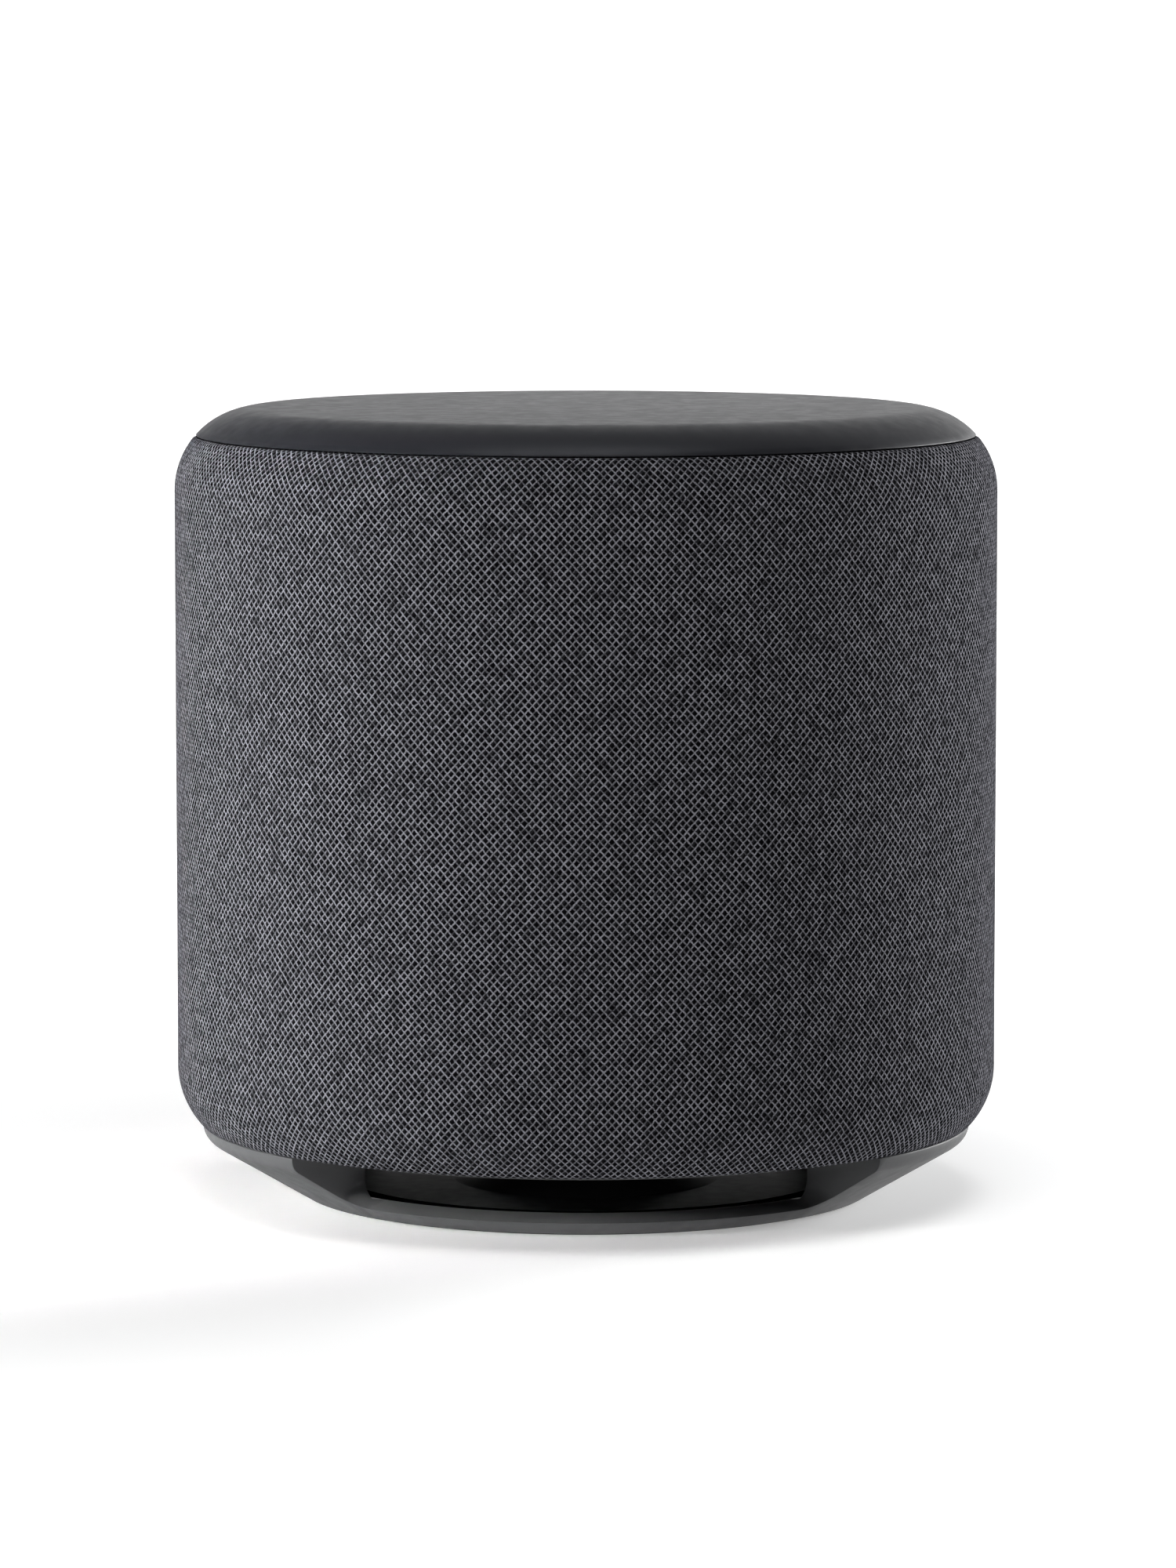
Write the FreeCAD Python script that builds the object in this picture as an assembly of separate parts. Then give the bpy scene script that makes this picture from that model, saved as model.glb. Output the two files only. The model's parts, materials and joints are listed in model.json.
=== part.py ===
import FreeCAD, Part
import math
import os

V = FreeCAD.Vector
X, Y, Z = V(1, 0, 0), V(0, 1, 0), V(0, 0, 1)
ORIGIN = V(0, 0, 0)

# Whole speaker: a cylinder with rounded top and bottom edges, standing at z = 0.
# The front is -Y, the rear with the sockets is +Y.
BODY_R = 105.0
HEIGHT = 202.0
EDGE_R = 21.0
ARC_R = BODY_R - EDGE_R
TOP_ARC_Z = HEIGHT - EDGE_R
BOTTOM_ARC_Z = 33.45
GAP = 0.1

# Fabric sleeve, from under the base's rim to inside the lid's rim
SLEEVE_T = 1.2
SLEEVE_LOW_DEG = 45.0
SLEEVE_TOP_DEG = 40.6
SLEEVE_LOW_Z = BOTTOM_ARC_Z - EDGE_R * math.sin(math.radians(SLEEVE_LOW_DEG))
SLEEVE_TOP_Z = TOP_ARC_Z + EDGE_R * math.sin(math.radians(SLEEVE_TOP_DEG))
TUCK_LOW_R = 92.0
RIM_IN_R = 92.4

# Top cap
CAP_T = 2.4
CAP_EDGE_DEG = 42.4
CAP_PIN_R = 80.0
CAP_PIN_RADIUS = 2.0
CAP_PINS = 6

# Sealed enclosure: a tub with the baffle, and a lid
WALL = 3.5
SKIN = SLEEVE_T + GAP
TUB_TOP_Z = 169.2
BAFFLE_TOP_Z = 24.0
BAFFLE_OPENING_R = 68.8
LID_LOW_Z = 170.2
LID_FLOOR_Z = 186.5
LID_TOP_Z = 190.0
COLUMN_R = 84.0
COLUMN_RADIUS = 5.0
COLUMNS = 6
COLUMN_TOP_Z = 186.4

# Base housing with the front and rear slots
BASE_TOP_Z = 18.55
BASE_R = 98.6
BASE_SHOULDER_Z = 15.75
BASE_SHOULDER_FILLET = 4.0
BASE_FOOT_R = 73.1
BASE_FOOT_Z = 0.7
SLOT_LIP_R = 73.3
SLOT_LIP_Z = 6.4
SLOT_BEVEL = -0.3417
SLOT_CEILING_Z = 17.0
SLOT_SETBACK_R = 90.0
SLOT_CORNER_R = 6.0
SLOT_SIDE_IN = (53.6, 50.6)
SLOT_SIDE_OUT = (69.5, 63.3)
PILLAR_IN_R = 76.0
PILLAR_WALL = 2.5
PILLAR_POCKET_DEG = 38.0
BASE_SCREW_R = 87.0
BASE_SCREW_AZ = (-18, 18, 162, 198)

# Bottom plate and foot
PLATE_R = 71.0
PLATE_Z = 1.3
PLATE_T = 2.0
FOOT_IN_R = 52.0
FOOT_OUT_R = 70.4
PLATE_SCREW_R = 67.5
PLATE_SCREWS = 6

# Rear recess with the mains inlet, the action button and the status light
IO_Z = 52.0
IO_W = 58.0
IO_H = 26.0
IO_LIP = 2.5
IO_LIP_R = 105.75
POCKET_W = 53.0
POCKET_H = 21.0
FLOOR_OUT_Y = 97.0
FLOOR_IN_Y = 94.5
BEZEL_SCREW_X = 23.2
INLET_X = -8.5
SOCKET_W = 14.6
SOCKET_H = 8.0
SOCKET_END_Y = 85.0
PIN_SPACING = 8.6
PIN_RADIUS = 1.18
BUTTON_X = 11.5
BUTTON_RADIUS = 4.3
BUTTON_HOLE_RADIUS = 4.6
LED_X = 3.9
LED_RADIUS = 1.2
BOARD_POST_Z = 8.6

# Woofer, facing down
GASKET_T = 1.4
FLANGE_Z = 25.5
FLANGE_T = 2.2
FLANGE_R = 77.0
WOOFER_SCREW_R = 73.0
WOOFER_SCREWS = 8
CONE_R = 53.0
COIL_R = 19.3
TOP_PLATE_Z = 60.0
MAGNET_Z = 66.0
YOKE_Z = 84.0
YOKE_TOP_Z = 90.0

# Electronics on a tray above the woofer
TRAY_Z = 100.1
TRAY_T = 1.5
TRAY_R = 74.0
TRAY_SCREW_R = 86.0
TRAY_AZ = (30, 150, 210, 330)
BOARD_Z = 107.6
BOARD_T = 1.6
BOARD_X = (12.0, 60.0)
BOARD_HALF_Y = 38.0
BOARD_INSET = 4.0
CABLE_HOLE_Y = 60.0
PARTS_Z = BOARD_Z + BOARD_T + 0.05


def polar(r, deg, z=0.0):
    a = math.radians(deg)
    return V(r * math.cos(a), r * math.sin(a), z)


def cylinder(base, radius, height, axis=Z):
    return Part.makeCylinder(radius, height, base, axis)


def ring(r_in, r_out, z0, z1):
    low = V(0, 0, z0)
    return cylinder(low, r_out, z1 - z0).cut(cylinder(low, r_in, z1 - z0))


def block(x, y, z):
    return Part.makeBox(x[1] - x[0], y[1] - y[0], z[1] - z[0], V(x[0], y[0], z[0]))


def centred(x, y, w, d, z0, z1):
    return block((x - w / 2, x + w / 2), (y - d / 2, y + d / 2), (z0, z1))


def turned(shape, deg):
    copy = shape.copy()
    copy.rotate(ORIGIN, Z, deg)
    return copy


def around(shape, count, start=0.0):
    return [turned(shape, start + k * 360.0 / count) for k in range(count)]


def at_angles(shape, angles):
    return [turned(shape, deg) for deg in angles]


def fused(shapes):
    return shapes[0].multiFuse(shapes[1:]).removeSplitter()


def revolved(edges):
    face = Part.Face(Part.Wire(edges))
    return face.revolve(ORIGIN, Z, 360)


def section_face(points):
    corners = [V(r, 0, z) for r, z in points]
    return Part.Face(Part.makePolygon(corners + corners[:1]))


def lathe(points):
    return section_face(points).revolve(ORIGIN, Z, 360)


def line(a, b):
    return Part.makeLine(V(a[0], 0, a[1]), V(b[0], 0, b[1]))


def edge_point(inset, deg, top):
    """The (r, z) point of the rounded edge, inset from the outer skin, deg from horizontal."""
    a = math.radians(deg)
    r = ARC_R + (EDGE_R - inset) * math.cos(a)
    rise = (EDGE_R - inset) * math.sin(a)
    return (r, TOP_ARC_Z + rise) if top else (r, BOTTOM_ARC_Z - rise)


def edge_deg(inset, rise):
    """The angle at which the inset skin stands rise above the centre of its edge arc."""
    return math.degrees(math.asin(rise / (EDGE_R - inset)))


def edge_arc(inset, deg0, deg1, top):
    a, b, c = (edge_point(inset, d, top) for d in (deg0, (deg0 + deg1) / 2, deg1))
    return Part.Arc(V(a[0], 0, a[1]), V(b[0], 0, b[1]), V(c[0], 0, c[1])).toShape()


def stadium(width, height, x, z, y0, y1):
    """A prism along Y with half-round ends."""
    r = height / 2
    reach = width / 2 - r
    ends = [cylinder(V(x + s * reach, y0, z), r, y1 - y0, Y) for s in (-1, 1)]
    middle = block((x - reach, x + reach), (y0, y1), (z - r, z + r))
    return fused([middle] + ends)


def screw(base, head_r, head_h, shank_r, length, axis):
    """A pan-head screw: base is under the head, axis points from the head to the tip."""
    head = cylinder(base, head_r, head_h, axis.negative())
    shank = cylinder(base, shank_r, length, axis)
    drive = cylinder(base - axis * head_h, head_r * 0.4, head_h * 0.5, axis)
    return head.fuse(shank).cut(drive)


def wire(points, radius):
    """A round wire: straight runs through the points, joined by arcs at each turn."""
    points = [V(*p) for p in points]
    edges = []
    start = points[0]
    for before, corner, after in zip(points, points[1:], points[2:]):
        back = (before - corner).normalize()
        ahead = (after - corner).normalize()
        trim = 0.45 * min((before - corner).Length, (after - corner).Length)
        half = back.getAngle(ahead) / 2
        middle = (back + ahead).normalize()
        bend_r = trim * math.tan(half)
        crown = corner + middle * (trim / math.cos(half) - bend_r)
        edges.append(Part.makeLine(start, corner + back * trim))
        edges.append(Part.Arc(corner + back * trim, crown, corner + ahead * trim).toShape())
        start = corner + ahead * trim
    edges.append(Part.makeLine(start, points[-1]))
    section = Part.Wire([Part.Circle(points[0], points[1] - points[0], radius).toShape()])
    return Part.Wire(edges).makePipeShell([section], True, False)


def top_cap():
    """Moulded lid cover with a flat top, a rounded rim and six push-fit pins."""
    under = EDGE_R - CAP_T
    edge = edge_point(0, CAP_EDGE_DEG, True)
    land_z = edge[1] - 0.2
    land_deg = edge_deg(CAP_T, land_z - TOP_ARC_Z)
    inner = edge_point(CAP_T, land_deg, True)
    under_z = TOP_ARC_Z + under
    shell = revolved(
        [
            line((0, HEIGHT), (ARC_R, HEIGHT)),
            edge_arc(0, 90, CAP_EDGE_DEG, True),
            line(edge, (edge[0] - 0.25, land_z)),
            line((edge[0] - 0.25, land_z), inner),
            edge_arc(CAP_T, land_deg, 90, True),
            line((ARC_R, under_z), (0, under_z)),
            line((0, under_z), (0, HEIGHT)),
        ]
    )
    pin = cylinder(polar(CAP_PIN_R, 0, LID_TOP_Z + 1.5), CAP_PIN_RADIUS, under_z - LID_TOP_Z - 1.4)
    return fused([shell] + around(pin, CAP_PINS, 30))


def fabric_clamp_ring():
    """Ring that wedges the sleeve's top edge against the lid's rim."""
    return ring(88.6, RIM_IN_R - GAP - SLEEVE_T - 0.1, LID_TOP_Z + 0.1, SLEEVE_TOP_Z - 0.4)


def fabric_sleeve():
    """Knitted sleeve: round the side, over the lid's rim, and tucked under the tub."""
    t = SLEEVE_T
    rim_out = RIM_IN_R - GAP
    tuck_z = SLEEVE_TOP_Z - t
    foot_z = SLEEVE_LOW_Z + t
    top_deg = edge_deg(t, tuck_z - TOP_ARC_Z)
    low_deg = edge_deg(t, BOTTOM_ARC_Z - foot_z)
    in_r = BODY_R - t
    section = [
        line((TUCK_LOW_R, SLEEVE_LOW_Z), edge_point(0, SLEEVE_LOW_DEG, False)),
        edge_arc(0, SLEEVE_LOW_DEG, 0, False),
        line((BODY_R, BOTTOM_ARC_Z), (BODY_R, TOP_ARC_Z)),
        edge_arc(0, 0, SLEEVE_TOP_DEG, True),
        line(edge_point(0, SLEEVE_TOP_DEG, True), (rim_out - t, SLEEVE_TOP_Z)),
        line((rim_out - t, SLEEVE_TOP_Z), (rim_out - t, LID_TOP_Z + 0.3)),
        line((rim_out - t, LID_TOP_Z + 0.3), (rim_out, LID_TOP_Z + 0.3)),
        line((rim_out, LID_TOP_Z + 0.3), (rim_out, tuck_z)),
        line((rim_out, tuck_z), edge_point(t, top_deg, True)),
        edge_arc(t, top_deg, 0, True),
        line((in_r, TOP_ARC_Z), (in_r, BOTTOM_ARC_Z)),
        edge_arc(t, 0, low_deg, False),
        line(edge_point(t, low_deg, False), (TUCK_LOW_R, foot_z)),
        line((TUCK_LOW_R, foot_z), (TUCK_LOW_R, SLEEVE_LOW_Z)),
    ]
    return revolved(section).cut(stadium(IO_W + 0.6, IO_H + 0.6, 0, IO_Z, 80, 110))


def enclosure_tub():
    """Side wall, baffle, screw columns, tray posts and the lugs behind the rear recess."""
    out_r = BODY_R - SKIN
    in_r = out_r - WALL
    ledge_z = SLEEVE_LOW_Z + SLEEVE_T + 0.1
    deg = edge_deg(SKIN, BOTTOM_ARC_Z - ledge_z)
    step_r = TUCK_LOW_R - 0.1
    shell = revolved(
        [
            line((BAFFLE_OPENING_R, SLEEVE_LOW_Z), (step_r, SLEEVE_LOW_Z)),
            line((step_r, SLEEVE_LOW_Z), (step_r, ledge_z)),
            line((step_r, ledge_z), edge_point(SKIN, deg, False)),
            edge_arc(SKIN, deg, 0, False),
            line((out_r, BOTTOM_ARC_Z), (out_r, TUB_TOP_Z)),
            line((out_r, TUB_TOP_Z), (in_r, TUB_TOP_Z)),
            line((in_r, TUB_TOP_Z), (in_r, BAFFLE_TOP_Z + 7.5)),
            line((in_r, BAFFLE_TOP_Z + 7.5), (in_r - 7.5, BAFFLE_TOP_Z)),
            line((in_r - 7.5, BAFFLE_TOP_Z), (BAFFLE_OPENING_R, BAFFLE_TOP_Z)),
            line((BAFFLE_OPENING_R, BAFFLE_TOP_Z), (BAFFLE_OPENING_R, SLEEVE_LOW_Z)),
        ]
    )
    low = BAFFLE_TOP_Z - 1.0
    column = cylinder(polar(COLUMN_R, 0, low), COLUMN_RADIUS, COLUMN_TOP_Z - low)
    rib = block((COLUMN_R, in_r + 1), (-1.5, 1.5), (BOTTOM_ARC_Z, TUB_TOP_Z - 1.0))
    post = block((82, in_r + 1), (-5, 5), (88, TRAY_Z - 0.1))
    lugs = [lug(side, in_r) for side in (-1, 1)]
    solid = fused(
        [shell]
        + around(column.fuse(rib), COLUMNS)
        + at_angles(post, TRAY_AZ)
    )
    window = stadium(IO_W + 0.4, IO_H + 0.4, 0, IO_Z, 85, 110)
    solid = solid.cut(window).fuse(lugs)
    pilot = cylinder(polar(COLUMN_R, 0, 166), 1.5, 30)
    woofer_pilot = cylinder(polar(WOOFER_SCREW_R, 0, 19.6), 1.5, 10)
    base_hole = cylinder(polar(BASE_SCREW_R, 0, 10), 2.0, 20)
    tray_pilot = cylinder(polar(TRAY_SCREW_R, 0, 90), 1.5, 20)
    bezel_pilot = [cylinder(V(s * BEZEL_SCREW_X, 87, IO_Z), 1.3, 12, Y) for s in (-1, 1)]
    return solid.cut(
        around(pilot, COLUMNS)
        + around(woofer_pilot, WOOFER_SCREWS, 22.5)
        + at_angles(base_hole, BASE_SCREW_AZ)
        + at_angles(tray_pilot, TRAY_AZ)
        + bezel_pilot
    )


def lug(side, in_r):
    """Lug that takes one bezel screw, standing off the tub's inner wall."""
    x = sorted((side * 20.3, side * 33.0))
    arm = block(x, (88, FLOOR_IN_Y - 0.1), (IO_Z - 5, IO_Z + 5))
    root = block(sorted((side * 30.2, side * 33.0)), (88, 98), (IO_Z - 5, IO_Z + 5))
    return arm.fuse(root).common(cylinder(ORIGIN, in_r + 1, HEIGHT))


def enclosure_lid():
    """Lid with the rounded shoulder, the sleeve's rim and six sockets for the cap's pins."""
    rim_z = SLEEVE_TOP_Z - SLEEVE_T - 0.1
    deg = edge_deg(SKIN, rim_z - TOP_ARC_Z)
    out_r = BODY_R - SKIN
    in_r = out_r - WALL
    shell = revolved(
        [
            line((0, LID_TOP_Z), (RIM_IN_R, LID_TOP_Z)),
            line((RIM_IN_R, LID_TOP_Z), (RIM_IN_R, rim_z)),
            line((RIM_IN_R, rim_z), edge_point(SKIN, deg, True)),
            edge_arc(SKIN, deg, 0, True),
            line((out_r, TOP_ARC_Z), (out_r, LID_LOW_Z)),
            line((out_r, LID_LOW_Z), (in_r, LID_LOW_Z)),
            line((in_r, LID_LOW_Z), (in_r, 178)),
            line((in_r, 178), (RIM_IN_R, LID_FLOOR_Z)),
            line((RIM_IN_R, LID_FLOOR_Z), (0, LID_FLOOR_Z)),
            line((0, LID_FLOOR_Z), (0, LID_TOP_Z)),
        ]
    )
    socket = cylinder(polar(CAP_PIN_R, 0, LID_TOP_Z - 1), 4.2, 7)
    socket_hole = cylinder(polar(CAP_PIN_R, 0, LID_TOP_Z + 0.5), CAP_PIN_RADIUS + 0.05, 12)
    screw_hole = cylinder(polar(COLUMN_R, 0, 180), 1.9, 20)
    cable_hole = cylinder(V(-26, 0, 180), 5.6, 20)
    solid = fused([shell] + around(socket, CAP_PINS, 30))
    return solid.cut(around(socket_hole, CAP_PINS, 30) + around(screw_hole, COLUMNS) + [cable_hole])


def lid_gasket():
    return ring(BODY_R - SKIN - WALL + 0.1, BODY_R - SKIN - 0.1, TUB_TOP_Z + 0.02, LID_LOW_Z - 0.02)


def lid_screws():
    one = screw(polar(COLUMN_R, 0, LID_TOP_Z + 0.02), 3.0, 2.2, 1.45, 21, Z.negative())
    return Part.Compound(around(one, COLUMNS))


def base_outline():
    """Section of the base: foot rim, cone, rounded shoulder, flat top and plenum wall."""
    outline = [
        (64, PLATE_Z + PLATE_T + 0.1),
        (71.3, PLATE_Z + PLATE_T + 0.1),
        (71.3, BASE_FOOT_Z),
        (BASE_FOOT_R, BASE_FOOT_Z),
        (BASE_R, BASE_SHOULDER_Z),
        (BASE_R, BASE_TOP_Z),
        (PILLAR_IN_R, BASE_TOP_Z),
        (PILLAR_IN_R, SLOT_LIP_Z),
        (71.3, SLOT_LIP_Z - 0.6),
        (71.3, 5.0),
        (64, 5.0),
    ]
    return section_face(outline)


def slot_cutter():
    """The front slot: a bevelled sill, near-radial sides, rounded lower corners."""
    near_r, far_r = 72.0, 104.0
    sill = lambda r: SLOT_LIP_Z + SLOT_BEVEL * (r - SLOT_LIP_R)
    section = [
        (near_r, sill(near_r)),
        (far_r, sill(far_r)),
        (far_r, 25),
        (SLOT_SETBACK_R, 25),
        (SLOT_SETBACK_R, SLOT_CEILING_Z),
        (near_r, SLOT_CEILING_Z),
    ]
    ux = SLOT_SIDE_OUT[0] - SLOT_SIDE_IN[0]
    uy = SLOT_SIDE_OUT[1] - SLOT_SIDE_IN[1]
    near, out = -1.0, 4.4
    ax, ay = SLOT_SIDE_IN[0] + near * ux, SLOT_SIDE_IN[1] + near * uy
    bx, by = SLOT_SIDE_IN[0] + out * ux, SLOT_SIDE_IN[1] + out * uy
    plan = [V(-ax, -ay, -20), V(ax, -ay, -20), V(bx, -by, -20), V(-bx, -by, -20)]
    wedge = Part.Face(Part.makePolygon(plan + plan[:1])).extrude(V(0, 0, 60))
    face = section_face(section)
    face.rotate(ORIGIN, Z, 180)
    cutter = face.revolve(ORIGIN, Z, 180).common(wedge)
    corners = [e for e in cutter.Edges if lower_corner(e)]
    return cutter.makeFillet(SLOT_CORNER_R, corners)


def lower_corner(edge):
    """Whether the edge is where the slot's side meets its sloping sill."""
    box = edge.BoundBox
    outward = box.YMax < -40 and box.YLength > 12
    return outward and box.ZLength > 4 and box.ZMax < SLOT_LIP_Z + 0.5 and box.XLength > 12


def base_housing():
    """Base with two slots, hollow side pillars and four screw bosses."""
    solid = base_outline().revolve(ORIGIN, Z, 360)
    shoulder = [e for e in solid.Edges if abs(e.BoundBox.ZMin - BASE_SHOULDER_Z) < 0.01
                and e.BoundBox.ZLength < 0.01 and e.BoundBox.XLength > 150]
    solid = solid.makeFillet(BASE_SHOULDER_FILLET, shoulder)
    slot = slot_cutter()
    solid = solid.cut([slot, turned(slot, 180)])
    pilot = cylinder(polar(PLATE_SCREW_R, 0, 2), 1.4, 5)
    return solid.cut(pillar_pockets() + around(pilot, PLATE_SCREWS, 15))


def pillar_pockets():
    """The space inside both pillars, less a boss round each base screw."""
    slope = (BASE_SHOULDER_Z - BASE_FOOT_Z) / (BASE_R - BASE_FOOT_R)
    rise = PILLAR_WALL / math.cos(math.atan(slope))
    in_r = PILLAR_IN_R + PILLAR_WALL
    out_r = BASE_R - PILLAR_WALL - 0.6
    floor = lambda r: BASE_FOOT_Z + rise + slope * (r - BASE_FOOT_R)
    section = [(in_r, floor(in_r)), (out_r, floor(out_r)), (out_r, 20), (in_r, 20)]
    face = section_face(section)
    face.rotate(ORIGIN, Z, -PILLAR_POCKET_DEG)
    pocket = face.revolve(ORIGIN, Z, 2 * PILLAR_POCKET_DEG)
    bosses = [cylinder(polar(BASE_SCREW_R, deg, 5), 4.0, 20) for deg in BASE_SCREW_AZ]
    holes = [cylinder(polar(BASE_SCREW_R, deg, 12.5), 1.5, 10) for deg in BASE_SCREW_AZ]
    pockets = pocket.fuse(turned(pocket, 180)).cut(bosses)
    return [pockets] + holes


def base_screws():
    one = screw(polar(BASE_SCREW_R, 0, BAFFLE_TOP_Z + 0.02), 3.2, 2.2, 1.45, 11, Z.negative())
    return Part.Compound(at_angles(one, BASE_SCREW_AZ))


def bottom_plate():
    """Plate that closes the base, with a low cone that turns the air outwards."""
    top = PLATE_Z + PLATE_T
    plate = lathe([(0, PLATE_Z), (PLATE_R, PLATE_Z), (PLATE_R, top), (34, top), (4, top + 6), (0, top + 6)])
    hole = cylinder(polar(PLATE_SCREW_R, 0, 0), 1.7, 10)
    sink = Part.makeCone(3.0, 1.7, 1.3, polar(PLATE_SCREW_R, 0, PLATE_Z), Z)
    return plate.cut(around(hole.fuse(sink), PLATE_SCREWS, 15))


def bottom_plate_screws():
    """Countersunk screws under the foot, up into the base's floor ring."""
    head = Part.makeCone(2.8, 1.35, 1.2, polar(PLATE_SCREW_R, 0, PLATE_Z + 0.02), Z)
    shank = cylinder(polar(PLATE_SCREW_R, 0, PLATE_Z + 1.0), 1.35, 2.35)
    return Part.Compound(around(head.fuse(shank), PLATE_SCREWS, 15))


def rubber_foot():
    """Flat rubber ring stuck under the bottom plate."""
    z1 = PLATE_Z - 0.02
    rim = [(FOOT_OUT_R - 0.4, 0), (FOOT_OUT_R, 0.4), (FOOT_OUT_R, z1)]
    return lathe([(FOOT_IN_R, 0)] + rim + [(FOOT_IN_R, z1)])


def rear_io_bezel():
    """Rear recess: a lip over the sleeve's cut edge, a pocket and its floor."""
    tube = stadium(IO_W, IO_H, 0, IO_Z, FLOOR_IN_Y, 112)
    lip = stadium(IO_W + 2 * IO_LIP, IO_H + 2 * IO_LIP, 0, IO_Z, 80, 112)
    lip = lip.cut(cylinder(ORIGIN, BODY_R + 0.05, HEIGHT))
    body = tube.fuse(lip).common(cylinder(ORIGIN, IO_LIP_R, HEIGHT))
    pocket = stadium(POCKET_W, POCKET_H, 0, IO_Z, FLOOR_OUT_Y, 115)
    inlet = rounded_prism(INLET_X, 19.0, 12.0, 2.2, 90, 100)
    button = cylinder(V(BUTTON_X, 90, IO_Z), BUTTON_HOLE_RADIUS, 10, Y)
    light = cylinder(V(LED_X, 90, IO_Z), LED_RADIUS + 0.05, 10, Y)
    screws = [cylinder(V(s * BEZEL_SCREW_X, 90, IO_Z), 1.7, 10, Y) for s in (-1, 1)]
    posts = [cylinder(V(BUTTON_X, 87.5, z), 1.9, 7.2, Y) for z in board_post_heights()]
    bores = [cylinder(V(BUTTON_X, 87, z), 0.9, 5, Y) for z in board_post_heights()]
    return fused([body.cut([pocket, inlet, button, light] + screws)] + posts).cut(bores)


def rounded_prism(x, width, height, corner, y0, y1):
    """A prism along Y, centred on the recess's height, with rounded long edges."""
    solid = block((x - width / 2, x + width / 2), (y0, y1), (IO_Z - height / 2, IO_Z + height / 2))
    along = [e for e in solid.Edges if e.BoundBox.YLength > 0.9 * (y1 - y0)]
    return solid.makeFillet(corner, along)


def board_post_heights():
    return [IO_Z + s * BOARD_POST_Z for s in (-1, 1)]


def bezel_screws():
    ends = [V(s * BEZEL_SCREW_X, FLOOR_OUT_Y + 0.02, IO_Z) for s in (-1, 1)]
    return Part.Compound([screw(e, 2.5, 1.6, 1.25, 8, Y.negative()) for e in ends])


def ac_inlet_body():
    """Two-pole mains inlet with a figure-of-eight socket."""
    nose = rounded_prism(INLET_X, 18.6, 11.6, 2.0, 90, FLOOR_OUT_Y + 0.4)
    back = rounded_prism(INLET_X, 20.0, 15.0, 1.0, 76, FLOOR_IN_Y - 0.1)
    r = SOCKET_H / 2
    reach = SOCKET_W / 2 - r
    lobes = [cylinder(V(INLET_X + s * reach, SOCKET_END_Y, IO_Z), r, 20, Y) for s in (-1, 1)]
    waist = block((INLET_X - reach, INLET_X + reach), (SOCKET_END_Y, 105), (IO_Z - 3.6, IO_Z + 3.6))
    bores = [cylinder(V(x, 70, IO_Z), PIN_RADIUS + 0.02, 20, Y) for x in pin_places()]
    return nose.fuse(back).cut(lobes + [waist] + bores)


def pin_places():
    return [INLET_X + s * PIN_SPACING / 2 for s in (-1, 1)]


def ac_inlet_pins():
    """Two round contact pins with rounded tips."""
    pins = []
    for x in pin_places():
        shaft = cylinder(V(x, 71.5, IO_Z), PIN_RADIUS, 23.5, Y)
        tips = [e for e in shaft.Edges if e.BoundBox.YMin > 94]
        pins.append(shaft.makeFillet(0.8, tips))
    return Part.Compound(pins)


def status_led_lens():
    """Light pipe through the recess's floor."""
    return cylinder(V(LED_X, 89.5, IO_Z), LED_RADIUS, FLOOR_OUT_Y + 0.3 - 89.5, Y)


def action_button():
    """Push button with a flange behind the recess's floor."""
    cap = cylinder(V(BUTTON_X, 94.0, IO_Z), BUTTON_RADIUS, 4.4, Y)
    rim = [e for e in cap.Edges if e.BoundBox.YMin > 98]
    flange = cylinder(V(BUTTON_X, 93.2, IO_Z), 6.0, 1.0, Y)
    return cap.makeFillet(0.7, rim).fuse(flange)


def tact_switch_plunger():
    return cylinder(V(BUTTON_X, 90.1, IO_Z), 1.75, 3.08, Y)


def tact_switch_body():
    case = centred(BUTTON_X, 89.0, 6.2, 3.0, IO_Z - 3.1, IO_Z + 3.1)
    return case.cut(cylinder(V(BUTTON_X, 89.0, IO_Z), 2.05, 5, Y))


def button_board():
    """Small circuit board behind the button, with the plug for its cable."""
    board = centred(BUTTON_X - 0.4, 86.8, 16.8, 1.2, IO_Z - 11.0, IO_Z + 11.0)
    holes = [cylinder(V(BUTTON_X, 80, z), 1.2, 10, Y) for z in board_post_heights()]
    plug = centred(BUTTON_X, 84.2, 8, 4.0, IO_Z + 1.0, IO_Z + 5.6)
    return board.cut(holes).fuse(plug)


def button_board_screws():
    bases = [V(BUTTON_X, 86.15, z) for z in board_post_heights()]
    return Part.Compound([screw(b, 1.9, 1.3, 0.85, 5, Y) for b in bases])


def woofer_basket():
    """Cast frame: flange, six arms, spider ledge and the ring under the magnet."""
    top = FLANGE_Z + FLANGE_T
    solid = lathe(
        [
            (62.0, FLANGE_Z), (FLANGE_R, FLANGE_Z), (FLANGE_R, top), (67.0, top), (47.5, 54.0),
            (47.5, TOP_PLATE_Z - 0.05), (24.0, TOP_PLATE_Z - 0.05), (24.0, 57.5), (44.8, 57.5),
            (44.8, 54.0), (38.5, 54.0), (38.5, 52.0), (45.3, 52.0), (62.0, 29.5),
        ]
    )
    window = block((35, 80), (-20, 20), (32, 50))
    hole = cylinder(polar(WOOFER_SCREW_R, 0, 20), 2.1, 20)
    return solid.cut(around(window, 6) + around(hole, WOOFER_SCREWS, 22.5))


def woofer_gasket():
    hole = cylinder(polar(WOOFER_SCREW_R, 0, 20), 2.1, 20)
    band = ring(69.2, FLANGE_R - 0.3, BAFFLE_TOP_Z + 0.03, BAFFLE_TOP_Z + 0.03 + GASKET_T)
    return band.cut(around(hole, WOOFER_SCREWS, 22.5))


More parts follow.
